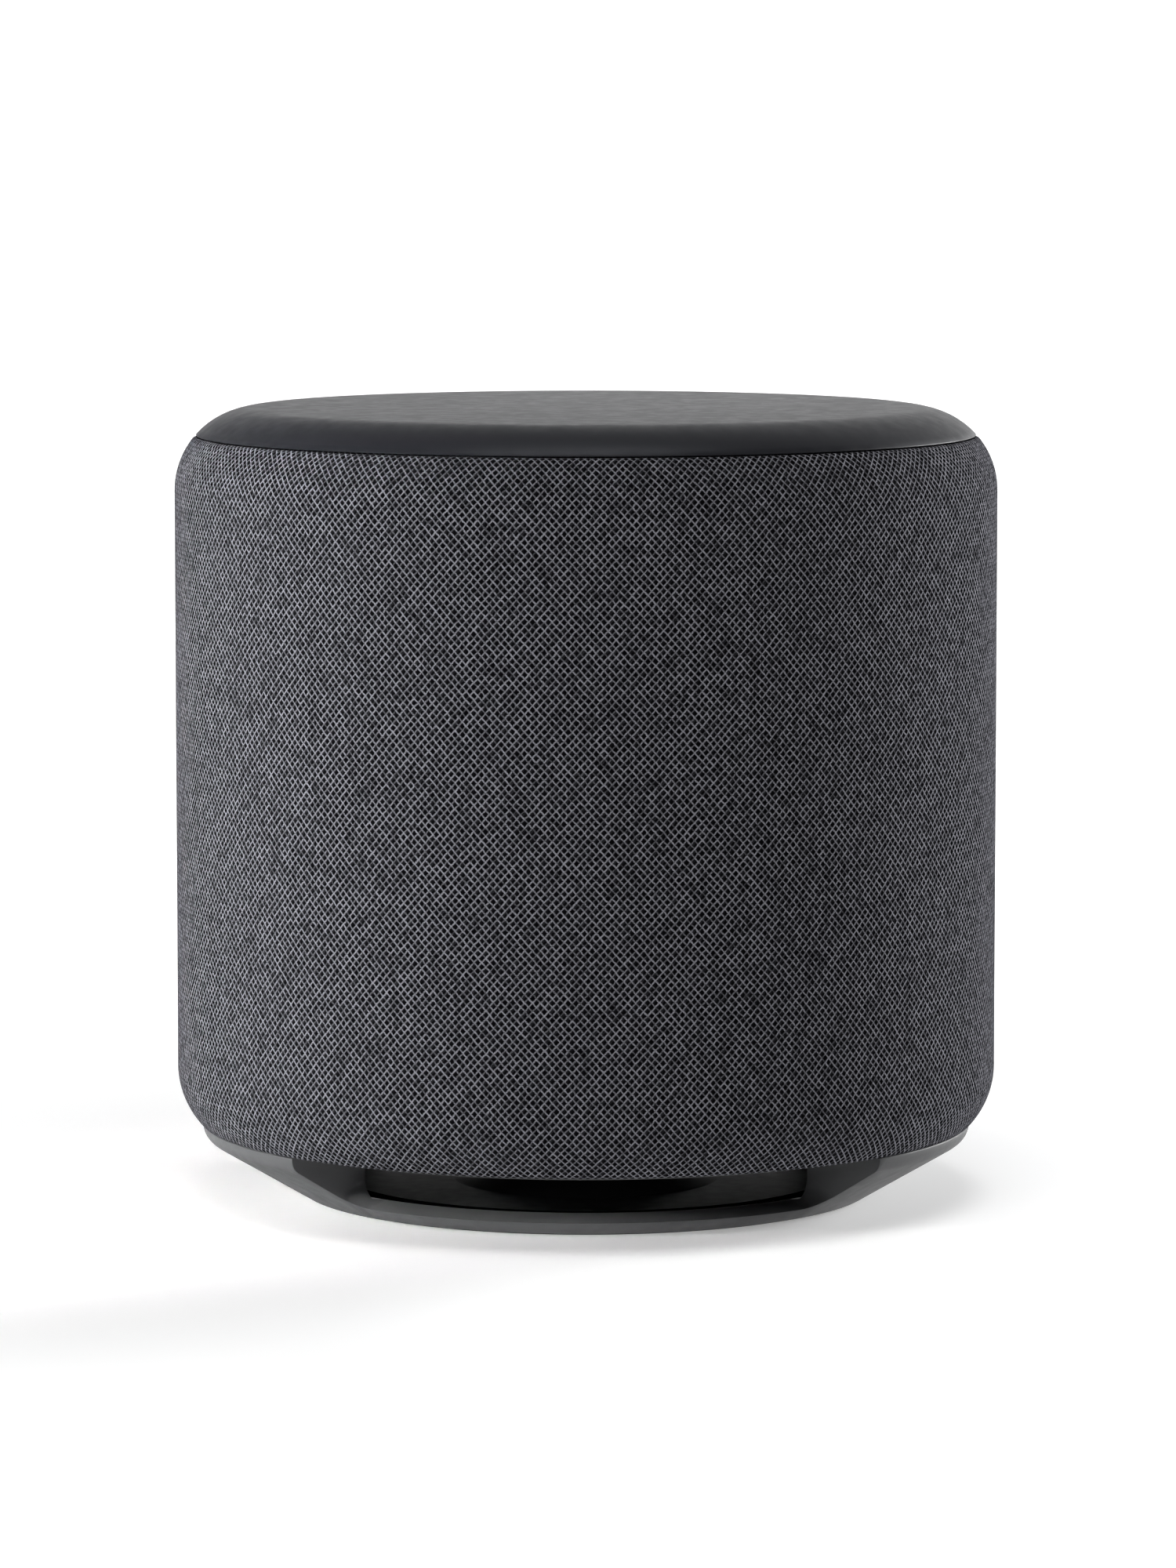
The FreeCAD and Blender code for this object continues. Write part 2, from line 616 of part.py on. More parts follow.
def woofer_surround():
    """Rubber half-roll between the cone's rim and the flange."""
    low, top, mid = 24.6, 25.4, 57.8
    outer, inner = 5.4, 4.6
    return revolved(
        [
            line((50.8, top), (mid - inner, top)),
            roll(mid, top, inner),
            line((mid + inner, top), (68.3, top)),
            line((68.3, top), (68.3, low)),
            line((68.3, low), (mid + outer, low)),
            roll(mid, low, outer),
            line((mid - outer, low), (50.8, low)),
            line((50.8, low), (50.8, top)),
        ]
    )


def roll(mid, z, r):
    """A half circle hanging below z."""
    return Part.Arc(V(mid - r, 0, z), V(mid, 0, z - r), V(mid + r, 0, z)).toShape()


def woofer_cone():
    """Paper cone, glued to the voice coil's former and the surround."""
    neck_r = COIL_R + 0.1
    lower = [(CONE_R, 25.5), (50.6, 25.5), (neck_r, 44.4)]
    upper = [(neck_r, 45.6), (50.4, 26.9), (CONE_R, 26.3)]
    return lathe(lower + upper)


def dust_cap():
    """Domed cap over the coil, on the cone's lower face."""
    rim_r, rim_z, depth, t = 25.4, 40.6, 6.5, 0.6
    sphere_r = (rim_r**2 + depth**2) / (2 * depth)
    centre = V(0, 0, rim_z - depth + sphere_r)
    dome = Part.makeSphere(sphere_r, centre).cut(Part.makeSphere(sphere_r - t, centre))
    trim = lathe([(0, 0), (rim_r, 0), (rim_r, rim_z - 0.7), (rim_r - 1.2, rim_z), (0, rim_z)])
    return dome.common(trim)


def voice_coil_former():
    return ring(COIL_R - 0.25, COIL_R, 42.5, 73.0)


def voice_coil_winding():
    return ring(COIL_R + 0.02, COIL_R + 0.7, 56.5, 69.5)


def spider():
    """Corrugated disc that centres the coil."""
    z, t, wave, pitch = 51.0, 0.6, 0.9, 5.6
    inner, outer = COIL_R + 0.1, 42.5
    crests = [(inner, z), (22.0, z)]
    r, side = 22.0 + pitch / 2, 1
    while r < 37.0:
        crests.append((r, z + side * wave))
        r, side = r + pitch / 2, -side
    crests += [(38.6, z), (outer, z)]
    return lathe(crests + [(r, z + t) for r, z in reversed(crests)])


def magnet_top_plate():
    return ring(COIL_R + 1.2, 45.0, TOP_PLATE_Z, MAGNET_Z - 0.03)


def ferrite_magnet():
    return ring(24.0, 50.0, MAGNET_Z, YOKE_Z - 0.03)


def t_yoke():
    """Back plate and pole piece with a vent."""
    pole = COIL_R - 0.9
    return lathe([(6, 60.0), (pole, 60.0), (pole, YOKE_Z), (45, YOKE_Z), (45, YOKE_TOP_Z), (6, YOKE_TOP_Z)])


def woofer_terminals():
    """Bracket on the flange with two solder tags."""
    low = FLANGE_Z + FLANGE_T + 0.05
    plate = centred(0, 68.0, 18, 1.2, low, 45)
    foot = centred(0, 70.2, 18, 3.4, low, low + 1.0)
    tags = [centred(x, 68.0, 3, 7, 38.6, 39.4) for x in (-5, 5)]
    return fused([plate, foot] + tags)


def tinsel_leads():
    """Two flexible leads from the cone's neck to the terminals."""
    leads = []
    for side in (-1, 1):
        neck, crest = (side * 8, 22.6, 43.6), (side * 13, 38, 45.5)
        leads.append(wire([neck, crest, (side * 14, 55, 42), (side * 6.3, 63.9, 39.0)], 0.5))
    return Part.Compound(leads)


def woofer_screws():
    top = FLANGE_Z + FLANGE_T + 0.02
    one = screw(polar(WOOFER_SCREW_R, 0, top), 3.6, 2.4, 1.45, 7.5, Z.negative())
    return Part.Compound(around(one, WOOFER_SCREWS, 22.5))


def electronics_chassis():
    """Pressed tray with a rim and four tabs on the tub's posts."""
    top = TRAY_Z + TRAY_T
    disc = cylinder(V(0, 0, TRAY_Z), TRAY_R, TRAY_T).fuse(ring(TRAY_R - 1.5, TRAY_R, TRAY_Z, top + 4))
    tab = block((60, 92), (-6, 6), (TRAY_Z, top))
    hole = cylinder(polar(TRAY_SCREW_R, 0, 90), 2.0, 20)
    solid = fused([disc] + at_angles(tab, TRAY_AZ))
    return solid.cut(at_angles(hole, TRAY_AZ) + [cylinder(V(0, CABLE_HOLE_Y, 90), 10, 20)])


def chassis_screws():
    one = screw(polar(TRAY_SCREW_R, 0, TRAY_Z + TRAY_T + 0.02), 3.2, 2.0, 1.45, 9, Z.negative())
    return Part.Compound(at_angles(one, TRAY_AZ))


def board_corners():
    low, high = BOARD_X[0] + BOARD_INSET, BOARD_X[1] - BOARD_INSET
    y = BOARD_HALF_Y - BOARD_INSET
    return [(sx * x, sy * y) for sx in (-1, 1) for x in (low, high) for sy in (-1, 1)]


def board_standoffs():
    z0 = TRAY_Z + TRAY_T + 0.02
    height = BOARD_Z - 0.02 - z0
    posts = [
        cylinder(V(x, y, z0), 2.6, height).cut(cylinder(V(x, y, z0 + 1.2), 1.25, height))
        for x, y in board_corners()
    ]
    return Part.Compound(posts)


def board_screws():
    top = BOARD_Z + BOARD_T + 0.02
    return Part.Compound([screw(V(x, y, top), 2.4, 1.8, 1.2, 6, Z.negative()) for x, y in board_corners()])


def circuit_board(side):
    x = sorted((side * BOARD_X[0], side * BOARD_X[1]))
    board = block(x, (-BOARD_HALF_Y, BOARD_HALF_Y), (BOARD_Z, BOARD_Z + BOARD_T))
    return board.cut([cylinder(V(px, py, 100), 1.5, 20) for px, py in board_corners() if px * side > 0])


def amplifier_board():
    return circuit_board(-1)


def power_supply_board():
    return circuit_board(1)


def amplifier_components():
    """Amplifier chip, output coils, capacitors and cable sockets."""
    z = PARTS_Z
    items = [
        centred(-38, 2, 14, 14, z, z + 1.6),
        centred(-50, 22, 10, 10, z, z + 7),
        centred(-36, 22, 10, 10, z, z + 7),
        cylinder(V(-20, 8, z), 5.0, 16),
        cylinder(V(-20, -4, z), 5.0, 16),
        centred(-26, 32.5, 12, 6, z, z + 8),
        centred(-42, 33.5, 8, 5, z, z + 6),
        centred(-22, -20, 7, 7, z, z + 1.0),
        centred(-25, -29, 8, 8, z, z + 1.2),
        centred(-56, 8, 4, 8, z, z + 2.2),
    ]
    return Part.Compound(items)


def amplifier_heatsink():
    """Finned heat sink on the amplifier chip."""
    z = PARTS_Z + 1.65
    base = centred(-38, 2, 24, 24, z, z + 3)
    fins = [centred(-48.8 + 4.32 * k, 2, 1.4, 24, z + 2, z + 16) for k in range(6)]
    return fused([base] + fins)


def wireless_module():
    """Radio module: a small board with its shield can."""
    z = PARTS_Z
    board = centred(-42, -24, 22, 16, z, z + 0.8)
    can = centred(-43, -24, 15, 13, z + 0.82, z + 3.2)
    return Part.Compound([board, can])


def psu_transformer():
    """Ferrite core round a taped winding."""
    z = PARTS_Z
    core = centred(37, -6, 30, 12, z + 1, z + 25).cut(centred(37, -6, 18, 14, z + 5.5, z + 20.5))
    winding = centred(37, -6, 18.2, 23, z + 5.4, z + 20.6)
    feet = [centred(37, -6 + s * 10, 22, 3, z, z + 6) for s in (-1, 1)]
    return fused([core, winding] + feet)


def psu_capacitors():
    z = PARTS_Z
    places = [(23, -26.5, 7.0, 26), (40, -26.5, 7.0, 26), (52.5, 12, 5.0, 20), (52.5, 24, 5.0, 20)]
    return Part.Compound([cylinder(V(x, y, z), r, h) for x, y, r, h in places])


def psu_components():
    """Mains socket, fuse, filter coil, rectifier and output socket."""
    z = PARTS_Z
    fuse = cylinder(V(24, 17, z + 3), 2.6, 18, X)
    items = [
        centred(24, 32.5, 9, 7, z, z + 9),
        fuse,
        centred(38, 29, 14, 10, z, z + 13),
        centred(17, -8, 4, 13, z, z + 15),
        centred(50, 34, 5, 5, z, z + 5),
    ]
    return Part.Compound(items)


def antenna_boards():
    """Two flat aerials on the lid, under the cap."""
    z = LID_TOP_Z + 0.05
    return Part.Compound([centred(x, 0, 12, 34, z, z + 1.0) for x in (-52, 46)])


def antenna_cables():
    """Coaxial leads from the aerials through the lid to the radio module."""
    top = LID_TOP_Z + 2.6
    end = PARTS_Z + 4.4
    left = [(-51, 4, top), (-27, 1, top), (-27, 1, 170), (-45, -24, 135), (-45, -24, end)]
    right = [(45, -4, top), (-25, -1, top), (-25, -1, 170), (-40, -25, 135), (-40, -25, end)]
    return Part.Compound([wire(points, 0.6) for points in (left, right)])


def speaker_wires():
    """Two wires from the amplifier's socket to the woofer's terminals."""
    start = PARTS_Z + 9.2
    high = start + 12
    left = [(-28.5, 33, start), (-26, 40, high), (-8, 60, high), (-7, 60.5, 62), (-5, 65.8, 55),
            (-5, 65.8, 40.6)]
    right = [(-24, 33, start), (-20, 42, high - 3), (-4, 62, high - 3), (-3, 62.5, 66),
             (5, 65.8, 56), (5, 65.8, 40.6)]
    return Part.Compound([wire(points, 1.0) for points in (left, right)])


def mains_wires():
    """Two wires from the inlet's pins to the power supply's socket."""
    start_y = 70.6
    end = PARTS_Z + 10.4
    high = end + 10
    left, right = pin_places()
    near = [(right, start_y, IO_Z), (right, 69.3, 54), (-1, 68.8, 70), (4, 62, 90), (4, 61, high),
            (20, 40, high), (22.5, 33, end)]
    far = [(left, start_y, IO_Z), (left, 69.3, 54), (-8, 68.9, 72), (0, 66.5, 90),
           (1, 66, high + 3), (24, 42, high + 3), (26, 33, end)]
    return Part.Compound([wire(points, 1.1) for points in (near, far)])


def button_cable():
    """Cable from the button board to the amplifier board."""
    end = PARTS_Z + 7.6
    high = end + 8
    points = [(BUTTON_X, 80.7, 55.3), (BUTTON_X, 74, 57), (0, 56, 86), (-1, 55, high), (-38, 44, high),
              (-42, 33.5, end)]
    return wire(points, 1.2)


def acoustic_damping():
    """Three wadding pads on the front half of the tub's wall."""
    pad = ring(91.5, 100.0, 104, 164)
    wedge = Part.makeCylinder(101, 62, V(0, 0, 103), Z, 46)
    return Part.Compound([pad.common(turned(wedge, start)) for start in (187, 247, 307)])


NODES = [
    top_cap, fabric_clamp_ring, fabric_sleeve, enclosure_tub, enclosure_lid, lid_gasket, lid_screws,
    base_housing, base_screws, bottom_plate, bottom_plate_screws, rubber_foot, rear_io_bezel,
    bezel_screws, ac_inlet_body, ac_inlet_pins, status_led_lens, action_button,
    tact_switch_plunger, tact_switch_body, button_board, button_board_screws, woofer_basket,
    woofer_gasket, woofer_surround, woofer_cone, dust_cap, voice_coil_former,
    voice_coil_winding, spider, magnet_top_plate, ferrite_magnet, t_yoke, woofer_terminals,
    tinsel_leads, woofer_screws, electronics_chassis, chassis_screws, board_standoffs,
    board_screws, amplifier_board, amplifier_components, amplifier_heatsink, wireless_module,
    power_supply_board, psu_transformer, psu_capacitors, psu_components, antenna_boards,
    antenna_cables, speaker_wires, mains_wires, button_cable, acoustic_damping,
]

os.makedirs("parts", exist_ok=True)
for make in NODES:
    shape = make()
    shape.exportStep("parts/" + make.__name__ + ".step")
    print(make.__name__, len(shape.Solids), shape.isValid(), round(shape.Volume / 1000, 2))
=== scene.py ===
import json
import math

import bmesh
import bpy
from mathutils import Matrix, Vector


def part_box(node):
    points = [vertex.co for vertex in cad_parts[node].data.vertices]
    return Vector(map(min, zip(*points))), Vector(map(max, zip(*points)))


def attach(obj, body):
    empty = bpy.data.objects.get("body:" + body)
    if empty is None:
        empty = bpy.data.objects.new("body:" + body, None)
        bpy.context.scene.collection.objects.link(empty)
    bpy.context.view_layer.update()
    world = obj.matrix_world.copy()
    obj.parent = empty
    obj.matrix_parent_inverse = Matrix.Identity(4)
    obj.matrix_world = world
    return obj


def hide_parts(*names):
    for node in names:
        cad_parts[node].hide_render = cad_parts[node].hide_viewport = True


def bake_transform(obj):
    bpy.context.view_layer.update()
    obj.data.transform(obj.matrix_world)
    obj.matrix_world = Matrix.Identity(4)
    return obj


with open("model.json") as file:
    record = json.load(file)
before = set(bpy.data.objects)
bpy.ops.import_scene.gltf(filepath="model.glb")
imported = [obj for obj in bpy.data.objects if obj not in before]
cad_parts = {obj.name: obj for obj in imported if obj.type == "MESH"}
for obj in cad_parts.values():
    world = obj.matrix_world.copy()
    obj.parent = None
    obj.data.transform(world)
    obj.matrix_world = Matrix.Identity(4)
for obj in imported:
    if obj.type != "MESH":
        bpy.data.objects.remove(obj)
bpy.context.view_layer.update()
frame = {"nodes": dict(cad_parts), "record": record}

HOUSING = "housing"
MM = 0.001

SLOTS = {row["node"]: row["material_slot"] for row in frame["record"]["subparts"]}

# Sizes read off the frame
SLEEVE_LOW, SLEEVE_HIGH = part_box("fabric_sleeve")
BEZEL_LOW, BEZEL_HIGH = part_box("rear_io_bezel")
RADIUS = (SLEEVE_HIGH[0] - SLEEVE_LOW[0]) / 2
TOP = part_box("top_cap")[1][2]

# Sizes of the CAD model that its boxes don't show
EDGE = 21.0 * MM
SLEEVE_THICK = 1.2 * MM
SLEEVE_LOW_DEG = 45.0
SLOT_LIP_R = 73.3 * MM

# Sleeve: the hems folded in beyond the section, the roll of its edges, how far each end tucks in,
# and how much smaller the rear opening is than the bezel that covers it
HEM = 6.0 * MM
ROLL = 0.9 * MM
LOW_TUCK = 6.5 * MM
TOP_TUCK = 5.0 * MM
BEZEL_RIM = 4.4 * MM

# Knit: repeats round the body, the height of one repeat, and its darkest and lightest colours
KNIT_ROUND = 342
KNIT_TALL = 2.13 * MM
KNIT_DARK = (0.0020, 0.0020, 0.0024)
KNIT_LIGHT = (0.243, 0.243, 0.271)

# Specular level of the base's plastic
BASE_SHINE = 0.13

# Slices of each ring that flexes with the cone, and the steps along a slice
RING_SLICES = 12
SLICE_STEPS = 6

# Rounding of the moulded parts' sharp edges
SOFTENED = {
    "base_housing": 0.35 * MM,
    "rear_io_bezel": 0.3 * MM,
    "top_cap": 0.15 * MM,
    "action_button": 0.2 * MM,
}

# Studio: the floor's glow under the object and far from it, the backdrop and the lights
FLOOR_GLOW = 0.30
FAR_GLOW = 0.75
FLOOR_SIZE = 3.0
FLOOR_FORWARD = 0.5
WALL_WHITE = 1.4
GRID_POWER = 0.57
LOW_POWER = 0.015
RIM_POWER = 28
TOP_POWER = 22

# Camera: its place, how far it looks down and its lens in millimetres
EYE = (0.0005, -1.78, 0.2935)
EYE_DOWN_DEG = 6.04
LENS = 160.1


# ---------------------------------------------------------------- node helpers


class Num:
    """A number in a shader's node tree, so that patterns read as sums."""

    def __init__(self, tree, socket):
        self.tree = tree
        self.socket = socket

    def op(self, kind, *others):
        """This number and the others, put through a maths node."""
        node = self.tree.nodes.new("ShaderNodeMath")
        node.operation = kind
        for slot, value in zip(node.inputs, (self,) + others):
            connect(self.tree, value, slot)
        return Num(self.tree, node.outputs[0])

    def __add__(self, other):
        return self.op("ADD", other)

    def __sub__(self, other):
        return self.op("SUBTRACT", other)

    def __mul__(self, other):
        return self.op("MULTIPLY", other)

    def near_whole(self):
        """Distance to the nearest whole number, 0 to 0.5."""
        return self.op("PINGPONG", 0.5)

    def ramp(self, low, high, to_low=0.0, to_high=1.0):
        """A smooth step from to_low at low to to_high at high."""
        node = self.tree.nodes.new("ShaderNodeMapRange")
        node.interpolation_type = "SMOOTHSTEP"
        connect(self.tree, self, node.inputs["Value"])
        node.inputs["From Min"].default_value = low
        node.inputs["From Max"].default_value = high
        node.inputs["To Min"].default_value = to_low
        node.inputs["To Max"].default_value = to_high
        return Num(self.tree, node.outputs["Result"])


def connect(tree, value, slot):
    """Links a Num to slot, or sets slot to a plain value."""
    if isinstance(value, Num):
        tree.links.new(value.socket, slot)
    else:
        slot.default_value = value


def new_material(name, color, roughness, metallic=0.0):
    """A Principled material. Returns it, its tree and its shader."""
    mat = bpy.data.materials.new(name)
    mat.use_nodes = True
    tree = mat.node_tree
    shader = tree.nodes["Principled BSDF"]
    shader.inputs["Base Color"].default_value = (*color, 1.0)
    shader.inputs["Roughness"].default_value = roughness
    shader.inputs["Metallic"].default_value = metallic
    return mat, tree, shader


def object_coords(tree):
    return tree.nodes.new("ShaderNodeTexCoord").outputs["Object"]


def noise(tree, scale, detail=2.0, rough=0.5):
    """Cloudy noise in object space, 0 to 1."""
    node = tree.nodes.new("ShaderNodeTexNoise")
    node.inputs["Scale"].default_value = scale
    node.inputs["Detail"].default_value = detail
    node.inputs["Roughness"].default_value = rough
    tree.links.new(object_coords(tree), node.inputs["Vector"])
    return Num(tree, node.outputs["Fac"])


def pair_random(tree, x, y, seed):
    """A random number for each whole-number pair x, y."""
    vector = tree.nodes.new("ShaderNodeCombineXYZ")
    connect(tree, x, vector.inputs[0])
    connect(tree, y, vector.inputs[1])
    vector.inputs[2].default_value = seed
    node = tree.nodes.new("ShaderNodeTexWhiteNoise")
    node.noise_dimensions = "3D"
    tree.links.new(vector.outputs[0], node.inputs["Vector"])
    return Num(tree, node.outputs["Value"])


def mix_color(tree, factor, low, high, slot):
    """Sets slot to low where factor is 0 and high where it is 1."""
    node = tree.nodes.new("ShaderNodeMix")
    node.data_type = "RGBA"
    connect(tree, factor, node.inputs[0])
    node.inputs[6].default_value = (*low, 1.0)
    node.inputs[7].default_value = (*high, 1.0)
    tree.links.new(node.outputs[2], slot)


def bump(tree, shader, height, depth, strength):
    """Relief from a height of 0 to 1, depth deep."""
    node = tree.nodes.new("ShaderNodeBump")
    node.inputs["Strength"].default_value = strength
    node.inputs["Distance"].default_value = depth
    connect(tree, height, node.inputs["Height"])
    tree.links.new(node.outputs["Normal"], shader.inputs["Normal"])


# ---------------------------------------------------------------- materials


def moulded(
    name, low, high, roughness,
    grain=4200.0, depth=0.02 * MM, shine=0.5, tint=(1.0, 1.0, 1.0),
):
    """Moulded plastic or rubber: fine grain, slight mottling in colour and gloss."""
    mat, tree, shader = new_material(name, high, roughness)
    mottle = noise(tree, 90.0, 3.0)
    mix_color(tree, mottle, low, high, shader.inputs["Base Color"])
    gloss = noise(tree, 260.0, 2.0)
    connect(tree, gloss.ramp(0.2, 0.8, roughness - 0.04, roughness + 0.04), shader.inputs["Roughness"])
    bump(tree, shader, noise(tree, grain, 3.0, 0.6), depth, 0.6)
    shader.inputs["Specular IOR Level"].default_value = shine
    shader.inputs["Specular Tint"].default_value = (*tint, 1.0)
    return mat


def base_material():
    """Graphite plastic, with painted shade in the slots: near black and without shine inside the lip
    radius.
    """
    mat = moulded(
        "base_plastic", (0.066, 0.067, 0.069), (0.078, 0.079, 0.081), 0.42,
        depth=0.03 * MM, shine=BASE_SHINE,
    )
    tree = mat.node_tree
    shader = tree.nodes["Principled BSDF"]
    # Painted shade: inside the slots' lip radius the colour goes to near black and the shine to none,
    # standing in for the deep shade there
    split = tree.nodes.new("ShaderNodeSeparateXYZ")
    tree.links.new(object_coords(tree), split.inputs[0])
    x, y = Num(tree, split.outputs["X"]), Num(tree, split.outputs["Y"])
    radius = (x * x + y * y).op("SQRT")
    outside = radius.ramp(SLOT_LIP_R - 0.4 * MM, SLOT_LIP_R)
    connect(tree, outside * BASE_SHINE, shader.inputs["Specular IOR Level"])
    color = shader.inputs["Base Color"]
    graphite = color.links[0].from_socket
    # Painted shade colour for the inside of the slots: near black in place of the shade that falls there
    slot_shade = tree.nodes.new("ShaderNodeMix")
    slot_shade.data_type = "RGBA"
    connect(tree, outside, slot_shade.inputs[0])
    slot_shade.inputs[6].default_value = (0.002, 0.002, 0.002, 1.0)
    tree.links.new(graphite, slot_shade.inputs[7])
    tree.links.new(slot_shade.outputs[2], color)
    return mat


def yarn_tone(tree, row, along, seed):
    """A yarn's lightness: part of it changes every few crossings, the rest at every crossing."""
    start = pair_random(tree, row, 0.5, seed) * 7.0
    stretch = pair_random(tree, row, (along * 0.4 + start).op("FLOOR"), seed + 1.0)
    cell = pair_random(tree, row, along.op("FLOOR"), seed + 2.0)
    return stretch * 0.3 + cell * 0.7


def knit_material():
    """Melange knit: two sets of bright yarns crossing over a dim filler yarn and open holes."""
    mat, tree, shader = new_material("knit", (0.06, 0.06, 0.07), 0.9)
    uv = tree.nodes.new("ShaderNodeUVMap")
    uv.uv_map = "weave"
    split = tree.nodes.new("ShaderNodeSeparateXYZ")
    tree.links.new(uv.outputs["UV"], split.inputs[0])
    u, v = Num(tree, split.outputs["X"]), Num(tree, split.outputs["Y"])
    drift = noise(tree, 450.0, 1.0) * 0.24
    falling = u + v + drift + noise(tree, 1100.0, 1.0) * 0.20
    rising = u - v + drift + noise(tree, 1300.0, 1.0) * 0.20
    yarn_a = falling.near_whole().ramp(0.20, 0.03)
    yarn_b = rising.near_whole().ramp(0.20, 0.03)
    filler_at = rising - 0.34
    filler = filler_at.near_whole().ramp(0.24, 0.05)
    tone_a = yarn_tone(tree, (falling + 0.5).op("FLOOR"), rising, 1.0)
    tone_b = yarn_tone(tree, (rising + 0.5).op("FLOOR"), falling, 11.0)
    tone_c = pair_random(tree, (filler_at + 0.5).op("FLOOR"), falling.op("FLOOR"), 21.0)
    light_a = yarn_a * (tone_a + 0.2)
    light_b = yarn_b * (tone_b + 0.15)
    light_c = filler * (tone_c * 0.06)
    fibre = noise(tree, 3400.0, 2.0, 0.6).ramp(0.25, 0.75, 0.35, 1.65)
    from_seam = u.op("PINGPONG", KNIT_ROUND / 2)
    seam = from_seam.ramp(0.15, 0.5, 0.2, 1.0)
    light = light_a.op("MAXIMUM", light_b).op("MAXIMUM", light_c) * fibre * seam
    mix_color(tree, light.op("MINIMUM", 1.0), KNIT_DARK, KNIT_LIGHT, shader.inputs["Base Color"])
    relief = yarn_a.op("MAXIMUM", yarn_b * 0.9).op("MAXIMUM", filler * 0.5) * seam
    bump(tree, shader, relief, 0.25 * MM, 0.7)
    shader.inputs["Specular IOR Level"].default_value = 0.0
    return mat


def metal(name, color, roughness, scale=900.0):
    """Bare metal: fine marks in its gloss and a slight change of colour."""
    mat, tree, shader = new_material(name, color, roughness, 1.0)
    fine = noise(tree, scale, 3.0, 0.6)
    connect(tree, fine.ramp(0.2, 0.8, roughness - 0.08, roughness + 0.1), shader.inputs["Roughness"])
    dull = tuple(c * 0.8 for c in color)
    mix_color(tree, noise(tree, 160.0, 2.0), dull, color, shader.inputs["Base Color"])
    bump(tree, shader, fine, 0.01 * MM, 0.5)
    return mat


def board_material():
    """Green solder mask with tracks and pads."""
    mat, tree, shader = new_material("circuit_board", (0.01, 0.09, 0.03), 0.35)
    cells = tree.nodes.new("ShaderNodeTexVoronoi")
    cells.distance = "CHEBYCHEV"
    cells.inputs["Scale"].default_value = 420.0
    tree.links.new(object_coords(tree), cells.inputs["Vector"])
    track = Num(tree, cells.outputs["Distance"]).ramp(0.30, 0.34)
    mix_color(tree, track, (0.012, 0.10, 0.035), (0.02, 0.17, 0.06), shader.inputs["Base Color"])
    bump(tree, shader, track, 0.03 * MM, 0.5)
    return mat


def cloth_material(name, low, high, pitch):
    """Uneven fibrous cloth, for the spider and the wadding."""
    mat, tree, shader = new_material(name, high, 0.9)
    wave = noise(tree, 1.0 / pitch, 4.0, 0.7)
    mix_color(tree, wave, low, high, shader.inputs["Base Color"])
    bump(tree, shader, wave, 0.4 * MM, 0.8)
    return mat


def make_materials():
    """One material for each slot that the record names."""
    return {
        "cap_plastic": moulded(
            "cap_plastic", (0.0125, 0.0130, 0.0155), (0.0155, 0.0160, 0.0190),
            0.40, shine=0.12, tint=(0.90, 0.93, 1.0),
        ),
        "fabric_melange": knit_material(),
        "base_plastic": base_material(),
        "black_plastic": moulded(
            "black_plastic", (0.004, 0.004, 0.0045), (0.006, 0.006, 0.0065),
            0.55, shine=0.3,
        ),
        "gloss_black": moulded(
            "gloss_black", (0.012, 0.012, 0.013), (0.015, 0.015, 0.016),
            0.22, depth=0.004 * MM,
        ),
        "foot_rubber": moulded("foot_rubber", (0.010, 0.010, 0.010), (0.016, 0.016, 0.016), 0.8),
        "gasket_foam": moulded(
            "gasket_foam", (0.012, 0.012, 0.012), (0.03, 0.03, 0.03),
            0.9, 1500.0, 0.2 * MM,
        ),
        "screw_steel": metal("screw_steel", (0.42, 0.42, 0.44), 0.35),
        "contact_brass": metal("contact_brass", (0.70, 0.62, 0.42), 0.25),
        "basket_metal": moulded("basket_metal", (0.012, 0.012, 0.013), (0.02, 0.02, 0.021), 0.45),
        "surround_rubber": moulded("surround_rubber", (0.010, 0.010, 0.010), (0.014, 0.014, 0.014), 0.6),
        "cone_paper": moulded(
            "cone_paper", (0.020, 0.020, 0.021), (0.035, 0.035, 0.036),
            0.75, 1800.0, 0.1 * MM,
        ),
        "former_aluminium": metal("former_aluminium", (0.7, 0.7, 0.72), 0.4),
        "copper_winding": metal("copper_winding", (0.72, 0.33, 0.16), 0.3),
        "spider_cloth": cloth_material("spider_cloth", (0.38, 0.26, 0.11), (0.55, 0.40, 0.20), 0.8 * MM),
        "zinc_steel": metal("zinc_steel", (0.55, 0.55, 0.57), 0.3),
        "ferrite": moulded("ferrite", (0.018, 0.018, 0.020), (0.03, 0.03, 0.033), 0.7, 2200.0, 0.08 * MM),
        "phenolic": moulded("phenolic", (0.16, 0.08, 0.035), (0.24, 0.13, 0.06), 0.5),
        "tray_steel": metal("tray_steel", (0.5, 0.51, 0.53), 0.4, 300.0),
        "standoff_brass": metal("standoff_brass", (0.7, 0.55, 0.27), 0.3),
        "circuit_board": board_material(),
        "component_black": moulded("component_black", (0.012, 0.012, 0.012), (0.025, 0.025, 0.025), 0.55),
        "heatsink_aluminium": metal("heatsink_aluminium", (0.12, 0.12, 0.13), 0.45),
        "shield_can": metal("shield_can", (0.6, 0.6, 0.61), 0.3),
        "transformer_tape": moulded("transformer_tape", (0.55, 0.42, 0.06), (0.65, 0.50, 0.09), 0.35),
        "capacitor_sleeve": moulded("capacitor_sleeve", (0.010, 0.015, 0.05), (0.015, 0.022, 0.08), 0.3),
        "wire_insulation": moulded("wire_insulation", (0.02, 0.02, 0.022), (0.04, 0.04, 0.042), 0.5),
        "wadding": cloth_material("wadding", (0.55, 0.55, 0.52), (0.8, 0.8, 0.77), 4 * MM),
        "lens_plastic": moulded("lens_plastic", (0.5, 0.5, 0.5), (0.6, 0.6, 0.6), 0.3),
    }


def dress(obj, material):
    """Makes material the object's only one."""
    obj.data.materials.clear()
    obj.data.materials.append(material)


# ---------------------------------------------------------------- mesh helpers


